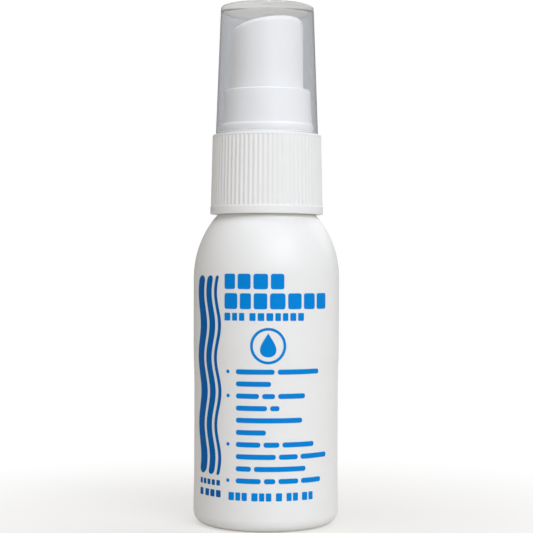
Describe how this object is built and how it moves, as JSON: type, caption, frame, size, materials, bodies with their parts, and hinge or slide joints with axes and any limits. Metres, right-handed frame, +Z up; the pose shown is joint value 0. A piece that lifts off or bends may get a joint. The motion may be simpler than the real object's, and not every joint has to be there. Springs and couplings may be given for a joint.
{
  "type": "lens cleaning spray",
  "caption": "Round pocket bottle with a domed shoulder, screwed on ribbed closure, fine-mist finger pump with a slanted button, and a clear press-on overcap.",
  "frame": {"origin": "middle of the standing ring, on the surface that the bottle stands on", "axes": "+Z up along the bottle's axis, -Y out of the printed side"},
  "size_m": [0.03, 0.03, 0.1063],
  "materials": {
    "bottle_plastic": "satin white moulded plastic",
    "closure_plastic": "semi-gloss white moulded plastic",
    "clear_plastic": "clear, slightly hazy moulded plastic",
    "actuator_plastic": "semi-gloss white moulded plastic",
    "insert_plastic": "white moulded plastic",
    "stem_plastic": "natural white moulded plastic",
    "rod_plastic": "natural white moulded plastic",
    "piston_plastic": "soft natural plastic",
    "spring_steel": "drawn stainless wire",
    "retainer_plastic": "white moulded plastic",
    "housing_plastic": "natural translucent moulded plastic",
    "gasket_foam": "soft white foam sheet",
    "ball_steel": "polished steel",
    "tube_plastic": "natural translucent extruded plastic",
    "print_ink": "blue screen print on the bottle"
  },
  "bodies": {
    "bottle": {"bottle": "bottle_plastic"},
    "seal": {"neck_gasket": "gasket_foam"},
    "pump": {"pump_housing": "housing_plastic", "stem_retainer": "retainer_plastic", "dip_tube": "tube_plastic", "return_spring": "spring_steel"},
    "closure": {"closure": "closure_plastic"},
    "overcap": {"overcap": "clear_plastic"},
    "plunger": {"stem": "stem_plastic", "valve_rod": "rod_plastic"},
    "actuator": {"actuator": "actuator_plastic", "nozzle_insert": "insert_plastic"},
    "piston": {"piston": "piston_plastic"},
    "ball": {"inlet_ball": "ball_steel"}
  },
  "joints": [
    {"name": "pump_withdraw", "type": "slide", "parent": "bottle", "child": "seal", "axis": [0, 0, 1], "range_m": [0, 0.08]},
    {"name": "thread_lift", "type": "slide", "parent": "seal", "child": "pump", "axis": [0, 0, 1], "range_m": [0, 0.00477]},
    {"name": "closure_turn", "type": "hinge", "parent": "pump", "child": "closure", "pos_m": [0, 0, 0.0715], "axis": [0, 0, 1], "range_deg": [0, 540]},
    {"name": "overcap_lift", "type": "slide", "parent": "closure", "child": "overcap", "axis": [0, 0, 1], "range_m": [0, 0.03]},
    {"name": "actuator_press", "type": "slide", "parent": "pump", "child": "plunger", "axis": [0, 0, -1], "range_m": [0, 0.005], "stiffness_N_per_m": 700, "springref_m": -0.0025, "deforming": ["return_spring"]},
    {"name": "actuator_spin", "type": "hinge", "parent": "plunger", "child": "actuator", "pos_m": [0, 0, 0.092], "axis": [0, 0, 1], "continuous": true},
    {"name": "piston_slip", "type": "slide", "parent": "plunger", "child": "piston", "axis": [0, 0, 1], "range_m": [0, 0.00035]},
    {"name": "ball_lift", "type": "slide", "parent": "pump", "child": "ball", "axis": [0, 0, 1], "range_m": [0, 0.0008]}
  ],
  "couplings": [
    {"joint": "thread_lift", "follows": "closure_turn", "m_per_rad": 0.00050532},
    {"joint": "piston_slip", "follows": "actuator_press", "ratio": 0.07}
  ]
}
